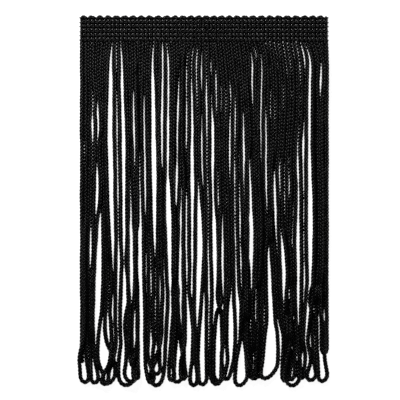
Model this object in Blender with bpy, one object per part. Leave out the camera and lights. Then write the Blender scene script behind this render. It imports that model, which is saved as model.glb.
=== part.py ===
"""A cut length of looped chainette fringe trim, lying flat on its back.

One cord runs down from the knitted heading and back up again, thirty times over, so the fringe hangs in
thirty long loops with the cord's cut start beside them. The trim's length runs along X, the fringe hangs
towards -Y, and the face of the trim looks up, along +Z. All sizes below are in millimetres, and a drop is
a distance down from the top of the heading. The finished meshes are in metres.
"""

import math

import bmesh
import bpy
import numpy as np

MM = 0.001

# The trim
LENGTH = 101.6
LEGS = 61
PITCH = LENGTH / LEGS
CLEARANCE = 0.3

# How far the columns of stitches stand from even spacing along the trim
DRIFTS = (
    # even_x, drift
    (-50.8, 0.0),
    (-46.0, -0.25),
    (-24.0, 0.1),
    (-13.0, 0.65),
    (-5.0, 0.4),
    (8.0, -0.4),
    (20.0, -0.9),
    (30.0, -0.4),
    (41.0, 0.45),
    (50.8, 0.0),
)

# The knitted heading: chain wales along the trim, crossed by one column of stitches for each leg
WALE_DROPS = (1.31, 2.99, 4.76, 6.52, 8.2)
HEADING_FOOT = 8.8
PICOT_NOTCH = 1.0
PICOT_SIDE = 0.28
END_NOTCH = 0.25
STITCH_TOP = 1.9
STITCH_SIDE = 1.5
GROOVE_TOP = 1.3
PINHOLE = 0.8
HEADING_EDGE = 0.9

# The lowest wale, which the fringe hangs from
BACKING_TOP = HEADING_FOOT + CLEARANCE
BACKING_RIDGE = 10.0
ROOT_DROP = 10.9
BACKING_EDGE = 1.0

# The cord: the width that it covers as it lies, and the plain square section that it has here
CORD = 1.62
SECTION = 1.25
LIE_APART = 1.6
LIFT = SECTION + CLEARANCE
STEEPEST = 0.5
BRIDGE = 4.0
RISE_FROM_ROOT = 4.0
TOLERANCE = 0.15
STEP = 0.8

# The legs are worked out on rows across the fringe
ROW_STEP = 4.1
ROWS = 34
SINGLE_END = 144.0

# How strongly a leg keeps to a parting, how slowly a parting opens, and how strongly a leg keeps straight,
# lies beside the next and keeps to its column
HOLD = 40.0
OPENING = 0.7
STIFFNESS = 1.2
HUDDLE = 1.5
HOMING = 0.002
FREE_ROOT = 18.0
SETTLINGS = 8
SETTLINGS_IN_TURN = 4
MIXED_DROP = 112.0

# The partings, where two legs lie apart. A parting opens at drop top, is widest at drop wide, where its
# width is given, and closes at drop foot; top_x, wide_x and foot_x are where its middle runs.
PARTINGS = (
    # left leg, right leg, top, top_x, wide, wide_x, width, foot, foot_x
    (2, 3, 39.5, -45.8, 44.5, -45.8, 0.75, 50.5, -45.6),
    (2, 3, 84.5, -46.3, 94.0, -46.5, 0.75, 105.0, -46.6),
    (3, 4, 32.0, -43.6, 43.5, -43.2, 0.75, 51.0, -43.1),
    (3, 4, 59.5, -43.8, 70.0, -43.6, 1.2, 84.5, -44.2),
    (4, 5, 76.5, -42.4, 115.0, -43.4, 2.2, 132.5, -44.3),
    (5, 7, 119.0, -40.2, 135.5, -40.8, 4.2, 147.5, -41.0),
    (7, 8, 10.5, -38.2, 52.0, -38.3, 2.2, 105.5, -37.1),
    (8, 9, 26.0, -35.9, 55.0, -35.5, 1.0, 90.0, -35.1),
    (8, 9, 80.0, -35.1, 105.0, -35.1, 0.6, 129.5, -35.5),
    (9, 10, 10.5, -33.8, 66.0, -32.8, 1.9, 101.0, -32.6),
    (9, 10, 101.0, -32.6, 126.0, -32.4, 2.2, 138.0, -32.9),
    (9, 11, 133.0, -32.8, 141.0, -33.4, 1.5, 152.0, -33.9),
    (11, 12, 51.0, -30.4, 101.0, -29.7, 1.4, 120.5, -29.7),
    (11, 13, 134.0, -30.1, 141.5, -30.5, 1.5, 149.0, -30.7),
    (12, 13, 26.5, -28.9, 50.0, -28.6, 0.85, 86.0, -28.1),
    (12, 13, 115.5, -28.2, 130.0, -28.4, 0.8, 139.0, -28.4),
    (14, 15, 52.0, -26.4, 101.0, -26.2, 1.6, 118.0, -25.8),
    (14, 15, 108.0, -25.9, 122.0, -25.7, 1.6, 160.0, -25.4),
    (15, 16, 28.5, -24.6, 66.0, -24.2, 0.9, 87.0, -23.9),
    (16, 17, 128.3, -21.9, 134.0, -21.6, 0.7, 139.5, -22.3),
    (17, 18, 10.5, -21.2, 60.0, -20.5, 1.95, 98.0, -20.1),
    (17, 18, 138.5, -19.8, 143.0, -19.6, 1.2, 146.5, -19.1),
    (19, 20, 10.5, -16.9, 40.0, -17.2, 0.85, 64.0, -17.4),
    (19, 20, 114.5, -16.0, 119.5, -16.0, 0.7, 127.0, -16.6),
    (20, 21, 10.5, -14.5, 40.0, -14.6, 0.85, 75.0, -14.8),
    (20, 21, 60.0, -14.9, 80.0, -14.5, 2.0, 118.0, -13.6),
    (20, 21, 112.0, -13.8, 122.0, -13.8, 0.8, 143.0, -15.2),
    (23, 24, 22.0, -10.2, 46.0, -10.9, 0.8, 62.0, -11.0),
    (23, 24, 56.0, -11.0, 71.5, -11.2, 1.05, 80.5, -11.4),
    (23, 24, 133.0, -10.4, 142.5, -10.3, 2.0, 152.0, -11.3),
    (24, 25, 61.0, -9.0, 84.0, -9.5, 0.7, 100.0, -9.6),
    (24, 25, 88.0, -9.6, 107.0, -9.7, 1.45, 134.0, -8.8),
    (26, 27, 11.5, -7.2, 43.0, -7.0, 0.8, 57.0, -7.3),
    (26, 27, 68.0, -7.2, 92.0, -7.2, 0.8, 116.0, -7.2),
    (26, 27, 113.0, -7.2, 129.0, -6.3, 2.3, 149.0, -6.7),
    (27, 28, 18.0, -5.2, 66.0, -4.8, 1.4, 108.0, -4.9),
    (28, 29, 68.0, -2.3, 94.0, -1.6, 2.05, 129.5, -3.0),
    (29, 30, 34.0, -1.0, 60.0, -0.8, 0.6, 77.5, -0.1),
    (29, 30, 113.5, 0.3, 137.0, -0.8, 1.9, 160.0, -0.3),
    (30, 31, 21.5, 1.0, 40.0, 1.2, 0.75, 65.0, 1.3),
    (30, 31, 74.0, 1.6, 112.0, 2.0, 0.65, 137.0, 1.8),
    (31, 32, 27.5, 3.1, 50.0, 3.5, 1.3, 84.0, 3.9),
    (31, 32, 70.0, 3.9, 95.0, 4.3, 1.85, 116.0, 4.5),
    (32, 33, 23.0, 4.9, 34.0, 4.9, 0.8, 43.5, 5.1),
    (32, 33, 62.0, 5.6, 75.0, 5.7, 0.7, 82.0, 5.9),
    (33, 34, 78.0, 7.5, 101.0, 7.6, 0.9, 118.0, 7.9),
    (33, 32, 120.5, 6.2, 140.0, 5.6, 1.8, 151.0, 5.2),
    (34, 35, 134.5, 8.4, 141.5, 8.6, 0.9, 147.3, 8.5),
    (35, 36, 41.0, 10.5, 52.0, 10.7, 0.8, 68.0, 10.5),
    (35, 36, 115.0, 11.0, 127.5, 11.1, 2.05, 147.5, 10.6),
    (36, 37, 30.0, 12.8, 68.0, 12.7, 0.75, 104.0, 13.1),
    (36, 37, 98.0, 12.9, 118.0, 13.9, 1.25, 131.0, 13.8),
    (37, 38, 50.0, 14.2, 74.0, 14.4, 0.8, 101.0, 15.0),
    (37, 38, 94.0, 15.0, 106.5, 15.1, 0.85, 115.0, 15.3),
    (37, 38, 133.5, 15.7, 147.0, 15.0, 3.1, 156.0, 14.8),
    (38, 39, 36.5, 16.1, 60.0, 16.3, 0.95, 84.5, 16.9),
    (38, 39, 100.5, 17.2, 108.0, 17.2, 0.65, 132.5, 17.2),
    (40, 41, 56.0, 18.4, 90.0, 19.4, 1.7, 141.5, 18.3),
    (41, 42, 15.5, 19.9, 28.0, 19.7, 0.65, 40.0, 20.0),
    (43, 44, 13.5, 23.8, 40.0, 23.3, 0.65, 69.0, 23.5),
    (44, 45, 36.5, 25.3, 54.0, 25.3, 0.8, 83.0, 25.8),
    (45, 46, 93.0, 26.3, 124.0, 27.4, 1.8, 140.0, 27.8),
    (45, 46, 122.0, 27.5, 142.0, 27.3, 4.7, 160.0, 26.0),
    (46, 47, 127.0, 31.0, 133.5, 31.4, 0.75, 138.8, 31.4),
    (47, 48, 61.0, 28.7, 74.0, 29.0, 0.95, 94.5, 29.8),
    (48, 49, 90.0, 31.9, 105.0, 32.7, 1.4, 118.0, 32.6),
    (51, 52, 66.0, 37.0, 79.0, 36.8, 0.7, 96.5, 35.9),
    (52, 53, 49.0, 38.4, 96.0, 38.5, 1.3, 127.5, 38.7),
    (54, 55, 10.5, 43.8, 37.0, 43.2, 1.1, 60.0, 43.1),
    (54, 55, 43.0, 43.1, 88.0, 43.6, 1.85, 112.0, 43.4),
    (54, 55, 106.0, 43.5, 114.0, 43.2, 1.0, 138.5, 41.0),
    (54, 55, 137.8, 42.4, 141.5, 42.6, 0.7, 145.5, 42.1),
    (57, 58, 17.5, 48.1, 26.5, 47.7, 0.9, 35.5, 47.6),
    (57, 59, 126.5, 47.4, 131.0, 47.2, 0.6, 138.0, 47.1),
    (59, 60, 117.5, 49.3, 136.0, 49.1, 1.0, 140.0, 49.0),
)

# The loops' lower ends: loop 1 joins legs 1 and 2, and so on. A loop comes down at left_x and right_x to
# its shoulder and turns at foot_x and foot.
HEM = (
    # left_x, right_x, shoulder, foot_x, foot
    (-50.7, -47.1, 147.8, -48.7, 150.3),
    (-46.3, -43.2, 148.2, -44.9, 150.5),
    (-41.2, -36.4, 147.2, -39.8, 150.9),
    (-42.0, -39.1, 148.8, -41.0, 151.0),
    (-35.0, -27.8, 146.0, -32.0, 151.4),
    (-32.6, -26.9, 145.6, -29.9, 150.0),
    (-29.1, -26.8, 147.7, -27.9, 148.9),
    (-22.9, -20.6, 149.2, -21.6, 150.4),
    (-21.0, -17.8, 144.7, -19.5, 147.0),
    (-22.0, -16.5, 146.4, -19.7, 151.6),
    (-14.4, -12.1, 148.4, -13.1, 149.5),
    (-12.6, -8.6, 147.4, -11.2, 150.2),
    (-9.6, -7.3, 147.8, -8.6, 148.9),
    (-5.7, -2.7, 149.2, -4.3, 151.6),
    (-2.1, 1.1, 149.0, -0.7, 151.3),
    (2.8, 7.0, 147.6, 5.2, 151.1),
    (3.9, 8.0, 146.6, 6.1, 149.9),
    (8.3, 10.3, 148.1, 9.0, 149.2),
    (12.8, 17.7, 147.6, 14.4, 151.6),
    (17.7, 20.0, 147.0, 18.8, 148.1),
    (19.2, 21.7, 147.4, 20.5, 149.0),
    (21.1, 23.4, 146.8, 22.2, 148.0),
    (23.6, 30.1, 143.1, 24.9, 148.6),
    (32.1, 35.0, 147.6, 33.3, 149.8),
    (34.0, 37.1, 147.0, 35.6, 149.2),
    (33.0, 39.3, 146.8, 36.2, 151.6),
    (38.5, 40.7, 147.6, 39.8, 148.9),
    (42.1, 46.0, 146.8, 43.6, 149.5),
    (46.7, 50.6, 146.8, 48.4, 149.9),
    (48.2, 50.3, 137.3, 49.1, 138.4),
)

# Where two loops meet, the one whose number leaves the larger rest when divided by LAYERS lies on top, and
# where the rests are equal the right one does. The single end counts as loop 0.
LAYERS = 3


def row_drops():
    """The drops of the rows that the legs are worked out on."""
    return ROOT_DROP + ROW_STEP * np.arange(ROWS)


def column_x(leg):
    """Where a leg's column of stitches stands along the trim; halves give the gaps between columns."""
    even_x, drift = np.array(DRIFTS).T
    even = -0.5 * LENGTH + PITCH * (leg + 0.5)
    return even + float(np.interp(even, even_x, drift))


def parting_places():
    """For each row that a parting crosses: the two legs, the row and the two places beside it."""
    widest = {}
    for left, right, top, top_x, wide, wide_x, width, foot, foot_x in PARTINGS:
        for row, drop in enumerate(row_drops()):
            if not top < drop < foot:
                continue
            if drop < wide:
                share = (drop - top) / (wide - top)
                middle = top_x + (wide_x - top_x) * share
            else:
                share = (foot - drop) / (foot - wide)
                middle = foot_x + (wide_x - foot_x) * share
            half = 0.5 * width * math.sin(0.5 * math.pi * share) ** OPENING + 0.5 * CORD
            if half > widest.get((left, right, row), (0.0, 0.0))[1]:
                widest[left, right, row] = (middle, half)
    return [(*place, middle - half, middle + half) for place, (middle, half) in widest.items()]


def wish(matrix, goals, places, factors, goal, weight):
    """Add to a least-squares system: the factors times the unknowns at these places come to the goal."""
    for a, factor_a in zip(places, factors):
        goals[a] += weight * factor_a * goal
        for b, factor_b in zip(places, factors):
            matrix[a, b] += weight * factor_a * factor_b


def fixed_wishes():
    """The system's part that stays the same: columns, straightness, edges, partings and loops' ends."""
    drops = row_drops()
    matrix = np.zeros((LEGS * ROWS, LEGS * ROWS))
    goals = np.zeros(LEGS * ROWS)
    for leg in range(LEGS):
        first = leg * ROWS
        for row in range(ROWS):
            wish(matrix, goals, [first + row], [1], column_x(leg), HOMING)
        for row in range(1, ROWS - 1):
            three = [first + row - 1, first + row, first + row + 1]
            wish(matrix, goals, three, [1, -2, 1], 0.0, STIFFNESS)
        wish(matrix, goals, [first], [1], column_x(leg), HOLD)
    for row in range(ROWS):
        wish(matrix, goals, [row], [1], -0.5 * LENGTH + 0.5 * CORD, HOLD)
    for row in range(ROWS - 4):
        last = (LEGS - 1) * ROWS + row
        wish(matrix, goals, [last], [1], 0.5 * LENGTH - 0.4 * CORD, HOLD)
    for left, right, row, left_x, right_x in parting_places():
        hold = HOLD * min(1.0, (drops[row] - ROOT_DROP) / FREE_ROOT) ** 2
        wish(matrix, goals, [left * ROWS + row], [1], left_x, hold)
        wish(matrix, goals, [right * ROWS + row], [1], right_x, hold)
    for loop, (left_x, right_x, shoulder, *_) in enumerate(HEM, start=1):
        nearest = int(np.argmin(np.abs(drops - shoulder)))
        for row in range(nearest, ROWS):
            wish(matrix, goals, [(2 * loop - 1) * ROWS + row], [1], left_x, HOLD)
            wish(matrix, goals, [2 * loop * ROWS + row], [1], right_x, HOLD)
    return matrix, goals


def leg_places():
    """Each leg's x on each row: held by the partings and the loops' ends, huddled side by side between."""
    drops = row_drops()
    parted = {(row, left, right) for left, right, row, _, _ in parting_places()}
    fixed_matrix, fixed_goals = fixed_wishes()
    x = np.linalg.solve(fixed_matrix, fixed_goals).reshape(LEGS, ROWS)
    for settling in range(SETTLINGS):
        matrix = fixed_matrix.copy()
        goals = fixed_goals.copy()
        for row in range(1, ROWS - 1):
            order = np.argsort(x[:, row], kind="stable")
            if settling < SETTLINGS_IN_TURN and drops[row] < MIXED_DROP:
                order = np.arange(LEGS)
            for a, b in zip(order[:-1], order[1:]):
                if (row, a, b) not in parted:
                    wish(matrix, goals, [a * ROWS + row, b * ROWS + row], [-1, 1], LIE_APART, HUDDLE)
        x = np.linalg.solve(matrix, goals).reshape(LEGS, ROWS)
    return x


def smooth_path(points):
    """Points every STEP along a smooth curve through the given ones."""
    points = np.asarray(points, float)
    ends = np.vstack([2 * points[0] - points[1], points, 2 * points[-1] - points[-2]])
    fine = []
    for a, b, c, d in zip(ends[:-3], ends[1:-2], ends[2:-1], ends[3:]):
        count = max(2, int(np.linalg.norm(c - b) / (0.5 * STEP)))
        for t in np.arange(count) / count:
            bend = (2 * a - 5 * b + 4 * c - d) * t ** 2 + (3 * b - a - 3 * c + d) * t ** 3
            fine.append(0.5 * (2 * b + (c - a) * t + bend))
    fine = np.array(fine + [points[-1]])
    run = np.concatenate([[0], np.cumsum(np.linalg.norm(np.diff(fine, axis=0), axis=1))])
    marks = np.linspace(0, run[-1], int(round(run[-1] / STEP)) + 1)
    return np.column_stack([np.interp(marks, run, fine[:, axis]) for axis in (0, 1)])


def loop_end(left_x, right_x, shoulder, foot_x, foot):
    """The turn at the lower end of a loop, from its left shoulder to its right one."""
    turn = np.linspace(0, math.pi, 9)
    middle = 0.5 * (left_x + right_x)
    x = middle - 0.5 * (right_x - left_x) * np.cos(turn) + (foot_x - middle) * np.sin(turn)
    return np.column_stack([x, shoulder + (foot - shoulder) * np.sin(turn)])


def cord_plans():
    """The cord seen from above, as x and drop: first the single cut end, then the loops in turn."""
    x = leg_places()
    drops = row_drops()
    hangs = drops < SINGLE_END
    plans = [smooth_path(np.column_stack([x[0][hangs], drops[hangs]]))]
    for loop, (left_x, right_x, shoulder, foot_x, foot) in enumerate(HEM, start=1):
        above = drops < shoulder - 2.0
        down = np.column_stack([x[2 * loop - 1][above], drops[above]])
        up = np.column_stack([x[2 * loop][above], drops[above]])[::-1]
        path = smooth_path(np.vstack([down, loop_end(left_x, right_x, shoulder, foot_x, foot), up]))
        path[1:-1] = 0.5 * path[1:-1] + 0.25 * (path[:-2] + path[2:])
        plans.append(path)
    return plans


def crossings(plans):
    """The points where one length of cord lies over another: upper, its points, lower, its points."""
    over = [loop % LAYERS for loop in range(len(plans))]
    halves = [(0, 0, len(plans[0]))]
    for loop, plan in enumerate(plans[1:], start=1):
        turn = int(np.argmax(plan[:, 1]))
        halves += [(loop, 0, turn + 1), (loop, turn, len(plan))]
    found = []
    for first, (a, a_from, a_to) in enumerate(halves):
        for b, b_from, b_to in halves[first + 1:]:
            apart = plans[a][a_from:a_to, None] - plans[b][None, b_from:b_to]
            near = np.hypot(apart[..., 0], apart[..., 1]) < LIE_APART
            if a == b:
                along = np.arange(a_from, a_to)[:, None] - np.arange(b_from, b_to)[None]
                near &= np.abs(along) * STEP > 2.2 * LIE_APART
            at_a, at_b = np.nonzero(near)
            if len(at_a) == 0:
                continue
            left_on_top = over[a] % 2 == 1 if a == b else over[a] > over[b]
            if left_on_top:
                found.append((a, a_from + at_a, b, b_from + at_b))
            else:
                found.append((b, b_from + at_b, a, a_from + at_a))
    return found


def spread(values, reach, pick):
    """Each value replaced by the largest or smallest within reach of it."""
    out = values.copy()
    for shift in range(1, reach + 1):
        out[shift:] = pick(out[shift:], values[:-shift])
        out[:-shift] = pick(out[:-shift], values[shift:])
    return out


def lifted_line(needed):
    """The lowest line over the needed heights that bridges short dips and climbs gently."""
    reach = int(round(BRIDGE / STEP))
    padded = np.pad(needed, reach, mode="edge")
    bridged = spread(spread(padded, reach, np.maximum), reach, np.minimum)[reach:-reach]
    bridged = np.maximum(bridged, needed)
    climb = STEEPEST * STEP * np.arange(len(needed))
    falling = np.maximum.accumulate(bridged + climb) - climb
    rising = np.maximum.accumulate((bridged - climb)[::-1])[::-1] + climb
    return np.maximum(falling, rising)


def cord_levels(plans):
    """How high the cord lies above the surface along each plan, where it crosses over its neighbours."""
    found = crossings(plans)
    levels = [np.zeros(len(plan)) for plan in plans]
    moved = True
    while moved:
        moved = False
        needed = [np.zeros(len(plan)) for plan in plans]
        for upper, upper_points, lower, lower_points in found:
            np.maximum.at(needed[upper], upper_points, levels[lower][lower_points] + LIFT)
        for k, plan in enumerate(plans):
            rise = np.clip((plan[:, 1] - ROOT_DROP) / RISE_FROM_ROOT, 0, 1)
            line = lifted_line(needed[k]) * rise
            moved = moved or bool(np.abs(line - levels[k]).max() > 1e-6)
            levels[k] = line
    return levels


def thinned(path):
    """The path with only the points that keep it within TOLERANCE of itself."""
    kept = {0, len(path) - 1}
    spans = [(0, len(path) - 1)]
    while spans:
        first, last = spans.pop()
        if last - first < 2:
            continue
        chord = path[last] - path[first]
        share = np.clip((path[first:last + 1] - path[first]) @ chord / (chord @ chord), 0, 1)
        off = np.linalg.norm(path[first:last + 1] - path[first] - share[:, None] * chord, axis=1)
        furthest = first + int(off.argmax())
        if off.max() > TOLERANCE:
            kept.add(furthest)
            spans += [(first, furthest), (furthest, last)]
    return path[sorted(kept)]


def cord_sections(path):
    """The square sections along a path of x, drop and level: right below, right above, left above, left below."""
    plan = np.column_stack([path[:, 0], -path[:, 1]])
    ways = np.diff(plan, axis=0)
    ways /= np.linalg.norm(ways, axis=1)[:, None]
    sides = np.column_stack([-ways[:, 1], ways[:, 0]])
    before = np.vstack([sides[:1], sides])
    after = np.vstack([sides, sides[-1:]])
    mitre = before + after
    mitre /= np.linalg.norm(mitre, axis=1)[:, None]
    mitre /= np.maximum((mitre * after).sum(axis=1), 0.85)[:, None]
    sections = []
    for point, side, level in zip(plan, mitre, path[:, 2]):
        right = point + 0.5 * SECTION * side
        left = point - 0.5 * SECTION * side
        low, high = level, level + SECTION
        sections.append([(*right, low), (*right, high), (*left, high), (*left, low)])
    return sections


def backing_strip(points, faces):
    """The lowest wale as a ridged strip. Returns, for each leg, its four corners in the strip's front."""
    half = 0.5 * SECTION
    xs = [-0.5 * LENGTH]
    for leg in range(LEGS):
        xs += [column_x(leg) - half, column_x(leg) + half]
    xs.append(0.5 * LENGTH)
    columns = []
    for k, x in enumerate(xs):
        ridge = STITCH_TOP if k % 2 else STITCH_SIDE
        start = len(points)
        points += [(x, -ROOT_DROP, 0.0), (x, -ROOT_DROP, SECTION), (x, -BACKING_RIDGE, ridge),
                   (x, -BACKING_TOP, BACKING_EDGE)]
        columns.append(start)
    back_left = len(points)
    points += [(xs[0], -BACKING_TOP, 0.0), (xs[-1], -BACKING_TOP, 0.0)]
    back_right = back_left + 1
    roots = []
    for k, (a, b) in enumerate(zip(columns[:-1], columns[1:])):
        faces.append((a + 1, b + 1, b + 2, a + 2))
        faces.append((a + 2, b + 2, b + 3, a + 3))
        if k % 2:
            roots.append(((a, a + 1), (b, b + 1)))
        else:
            faces.append((a, b, b + 1, a + 1))
    first, last = columns[0], columns[-1]
    faces.append((first, first + 1, first + 2, first + 3, back_left))
    faces.append((last, back_right, last + 3, last + 2, last + 1))
    faces.append([back_left, back_right] + [start + 3 for start in reversed(columns)])
    faces.append(columns[::-1] + [back_left, back_right])
    return roots


def fringe_solid():
    """The backing strip with the loops and the single end fused to it, as points and faces."""
    points = []
    faces = []
    roots = backing_strip(points, faces)
    plans = cord_plans()
    for k, (plan, level) in enumerate(zip(plans, cord_levels(plans))):
        sections = cord_sections(thinned(np.column_stack([plan, level])))
        (low_left, high_left), (low_right, high_right) = roots[max(0, 2 * k - 1)]
        rings = [(low_right, high_right, high_left, low_left)]
        inner = sections[1:] if k == 0 else sections[1:-1]
        for section in inner:
            start = len(points)
            points += section
            rings.append((start, start + 1, start + 2, start + 3))
        if k == 0:
            faces.append(rings[-1])
        else:
            (low_left, high_left), (low_right, high_right) = roots[2 * k]
            rings.append((low_left, high_left, high_right, low_right))
        for one, two in zip(rings[:-1], rings[1:]):
            for corner in range(4):
                following = (corner + 1) % 4
                faces.append((one[corner], one[following], two[following], two[corner]))
    return points, faces


def picot_drop(half_column):
    """The scalloped top edge: one picot over each two columns, in half-column steps from the left end."""
    return (PICOT_NOTCH, PICOT_SIDE, 0.0, PICOT_SIDE)[half_column % 4]


def heading_solid():
    """The knitted tape: a flat back, and a face raised into wales and columns of stitches."""
    half_columns = 2 * LEGS + 1
    rows = [(None, HEADING_EDGE, HEADING_EDGE)]
    for k, wale in enumerate(WALE_DROPS):
        if k:
            groove = 0.5 * (WALE_DROPS[k - 1] + wale)
            rows.append((groove, GROOVE_TOP, PINHOLE))
        rows.append((wale, STITCH_TOP, STITCH_SIDE))
    rows.append((HEADING_FOOT, HEADING_EDGE, HEADING_EDGE))
    points = []
    for drop, on_column, between in rows:
        for k in range(half_columns):
            x = column_x(0.5 * k - 0.5)
            if k in (0, half_columns - 1) and between != STITCH_SIDE:
                x -= math.copysign(END_NOTCH, x)
            down = picot_drop(k) if drop is None else drop
            points.append((x, -down, on_column if k % 2 else between))
    faces = []
    for row in range(len(rows) - 1):
        for k in range(half_columns - 1):
            a = row * half_columns + k
            faces.append((a, a + half_columns, a + half_columns + 1, a + 1))
    last_row = (len(rows) - 1) * half_columns
    left_side = [row * half_columns for row in range(1, len(rows) - 1)]
    right_side = [start + half_columns - 1 for start in left_side]
    rim = list(range(half_columns)) + right_side
    rim += list(range(last_row + half_columns - 1, last_row - 1, -1)) + left_side[::-1]
    start = len(points)
    points += [(points[k][0], points[k][1], 0.0) for k in rim]
    for k, top in enumerate(rim):
        after = (k + 1) % len(rim)
        faces.append((top, rim[after], start + after, start + k))
    faces.append([start + k for k in range(len(rim))])
    return points, faces


def yarn_material(name, color, roughness):
    """A dyed rayon yarn."""
    material = bpy.data.materials.new(name)
    material.use_nodes = True
    shader = material.node_tree.nodes["Principled BSDF"]
    shader.inputs["Base Color"].default_value = (*color, 1.0)
    shader.inputs["Roughness"].default_value = roughness
    shader.inputs["Metallic"].default_value = 0.0
    return material


def add_object(name, points, faces, shift, material):
    """A named object from points in millimetres, moved by the shift, with its faces looking out."""
    mesh = bpy.data.meshes.new(name)
    mesh.from_pydata(((np.array(points) + shift) * MM).tolist(), [], faces)
    shaped = bmesh.new()
    shaped.from_mesh(mesh)
    bmesh.ops.recalc_face_normals(shaped, faces=shaped.faces)
    shaped.to_mesh(mesh)
    shaped.free()
    mesh.materials.append(material)
    bpy.context.scene.collection.objects.link(bpy.data.objects.new(name, mesh))


def main():
    for existing in list(bpy.data.objects):
        bpy.data.objects.remove(existing, do_unlink=True)
    heading_points, heading_faces = heading_solid()
    fringe_points, fringe_faces = fringe_solid()
    everything = np.array(heading_points + fringe_points)
    lowest, highest = everything.min(axis=0), everything.max(axis=0)
    shift = -np.array([*(0.5 * (lowest + highest))[:2], lowest[2]])
    rayon = yarn_material("black_rayon_chainette", (0.012, 0.012, 0.014), 0.42)
    knit = yarn_material("black_rayon_knit", (0.010, 0.010, 0.012), 0.5)
    add_object("heading", heading_points, heading_faces, shift, knit)
    add_object("fringe", fringe_points, fringe_faces, shift, rayon)


main()
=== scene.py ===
# %% [markdown]
# # Looped chainette fringe trim
#
# This trim is a narrow knitted heading with a deep fringe below it. The fringe is one long cord, a
# chainette, that runs down and back up again thirty times, so it ends in soft loops, with the start of the
# cord as a single cut end at the left.
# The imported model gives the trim's place and size. Here each plain solid is replaced by real yarn: plaited
# cord for the fringe, and crossed columns and chains of stitches for the heading.

# %% Load the frame that everything is fitted to
import math

import bpy
import numpy as np
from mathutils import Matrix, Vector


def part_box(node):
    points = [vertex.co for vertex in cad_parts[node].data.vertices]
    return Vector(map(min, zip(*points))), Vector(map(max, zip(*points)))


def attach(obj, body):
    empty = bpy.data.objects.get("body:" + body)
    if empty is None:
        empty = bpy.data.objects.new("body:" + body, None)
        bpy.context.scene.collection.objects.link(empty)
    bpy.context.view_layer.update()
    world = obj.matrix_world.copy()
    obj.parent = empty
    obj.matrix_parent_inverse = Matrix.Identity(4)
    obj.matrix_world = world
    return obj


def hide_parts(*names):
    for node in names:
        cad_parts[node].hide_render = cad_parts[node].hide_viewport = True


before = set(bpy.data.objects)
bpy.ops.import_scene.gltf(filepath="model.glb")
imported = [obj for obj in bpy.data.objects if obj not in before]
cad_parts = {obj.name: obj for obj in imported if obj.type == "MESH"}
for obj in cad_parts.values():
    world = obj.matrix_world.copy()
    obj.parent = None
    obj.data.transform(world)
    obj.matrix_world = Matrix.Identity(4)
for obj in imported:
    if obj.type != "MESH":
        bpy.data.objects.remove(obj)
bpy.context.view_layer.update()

heading_low, heading_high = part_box("heading")
fringe_low, fringe_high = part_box("fringe")
print("heading box", heading_low, heading_high)
print("fringe box", fringe_low, fringe_high)

# %% [markdown]
# ## A millimetre rule for the trim
#
# Trimmings are measured down from the top of the heading, so this lesson does the same: a *drop* is a
# distance down from that edge, and x is a distance along the trim from its middle. The trim's sizes are
# written in millimetres and turned into the frame's metres only when a mesh is made, which keeps the numbers
# easy to read; the floor and the lights are in metres. Knitting is never quite even, so a small table says
# how far the columns drift from even spacing.

# %% The trim's own measures
MM = 0.001
LEGS = 61
LENGTH = round((heading_high[0] - heading_low[0]) / MM, 1)
PITCH = LENGTH / LEGS
DRIFTS = (
    # even_x, drift
    (-50.8, 0.0),
    (-46.0, -0.25),
    (-24.0, 0.1),
    (-13.0, 0.65),
    (-5.0, 0.4),
    (8.0, -0.4),
    (20.0, -0.9),
    (30.0, -0.4),
    (41.0, 0.45),
    (50.8, 0.0),
)
MIDDLE_X = 0.5 * (heading_low[0] + heading_high[0])
TOP_Y = heading_high[1]
ROOT_DROP = 10.9


def in_frame(points):
    """Points given as x, minus drop and height in millimetres, as metres in the frame."""
    return np.asarray(points) * MM + np.array([MIDDLE_X, TOP_Y, 0.0])


def column_x(leg):
    """Where a leg's column of stitches stands along the trim; halves give the gaps between columns."""
    even_x, drift = np.array(DRIFTS).T
    even = -0.5 * LENGTH + PITCH * (leg + 0.5)
    return even + np.interp(even, even_x, drift)


print(f"{LEGS} columns, {PITCH:.3f} mm apart on average, over {LENGTH} mm")

# %% [markdown]
# ## The camera
#
# A flat trim is shown from straight above, with its heading at the top. A long lens from a good way off
# keeps the view nearly free of perspective, so the long cords stay parallel and hardly show their sides.

# %% Camera
VIEW_WIDTH = 164.0
VIEW_X = -1.64
VIEW_DROP = 75.44
LENS = 150.0
SENSOR = 36.0

camera_data = bpy.data.cameras.new("overhead_camera")
camera_data.lens = LENS
camera_data.sensor_width = SENSOR
camera = bpy.data.objects.new("overhead_camera", camera_data)
bpy.context.scene.collection.objects.link(camera)
camera.location = in_frame([VIEW_X, -VIEW_DROP, VIEW_WIDTH * LENS / SENSOR])
bpy.context.scene.camera = camera
print("camera height", round(camera.location.z, 3), "m")

# %% [markdown]
# ## A pale floor and soft light
#
# Black yarn shows its shape only through its gloss. One broad light would leave it flat, so a small key
# softbox hangs low beyond the heading, and two much weaker ones fill in from the right and from beyond the
# loops. The floor is pale and glows like a light table, which gives each gap between the cords a clean light
# line, and the glow from all around is kept very faint.

# %% The glowing floor
FLOOR_SIDE = 3.0
FLOOR_GAP = 0.0002
FLOOR_COLOR = (0.9, 0.9, 0.9, 1.0)
FLOOR_ROUGHNESS = 0.9
FLOOR_GLOW = 0.93
WHITE = (1.0, 1.0, 1.0, 1.0)

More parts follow.
